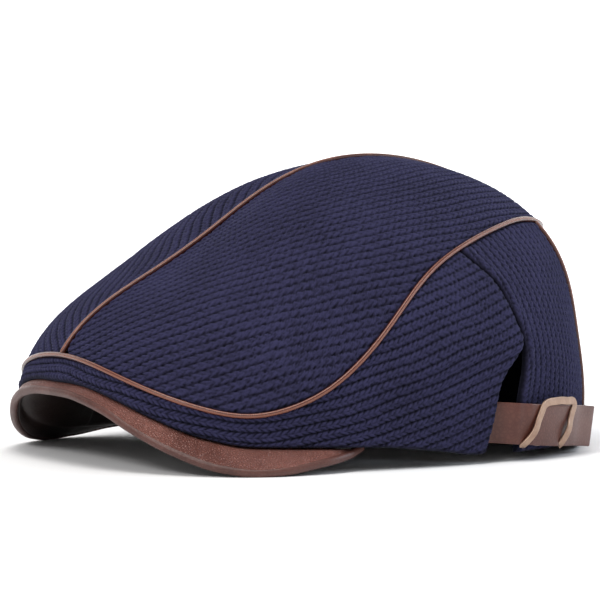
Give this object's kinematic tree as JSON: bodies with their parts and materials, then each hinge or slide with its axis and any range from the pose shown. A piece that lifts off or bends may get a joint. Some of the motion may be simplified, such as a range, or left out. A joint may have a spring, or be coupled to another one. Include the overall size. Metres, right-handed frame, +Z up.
{
  "type": "flat cap",
  "caption": "Knitted flat cap with a rounded crown, leather-piped seams, a curved leather peak and a buckled leather strap across the back vents.",
  "frame": {"origin": "centre of the bounding box in plan, on the ground the cap rests on", "axes": "+Z up, peak points to -Y, the wearer's left is +X"},
  "size_m": [0.2046, 0.2596, 0.1313],
  "materials": {
    "knit": "thick navy wool stocking-stitch knit, matt and slightly fuzzy",
    "piping": "glossy brown leather piping",
    "peak_leather": "fine-grained red-brown leather, satin",
    "under_leather": "smooth dark brown leather, satin",
    "strap_leather": "smooth red-brown leather strap, satin",
    "buckle_brass": "aged brass, satin"
  },
  "bodies": {
    "root": {"crown_top_left": "knit", "crown_top_right": "knit", "crown_side": "knit", "crown_back_left": "knit", "crown_back_right": "knit", "crown_back_center": "knit", "piping_crown": "piping", "piping_band": "piping", "piping_back_left": "piping", "piping_back_right": "piping", "peak_top": "peak_leather", "peak_under": "under_leather", "peak_rim": "peak_leather", "strap_left": "strap_leather", "strap_right": "strap_leather", "buckle_frame": "buckle_brass"}
  },
  "joints": []
}
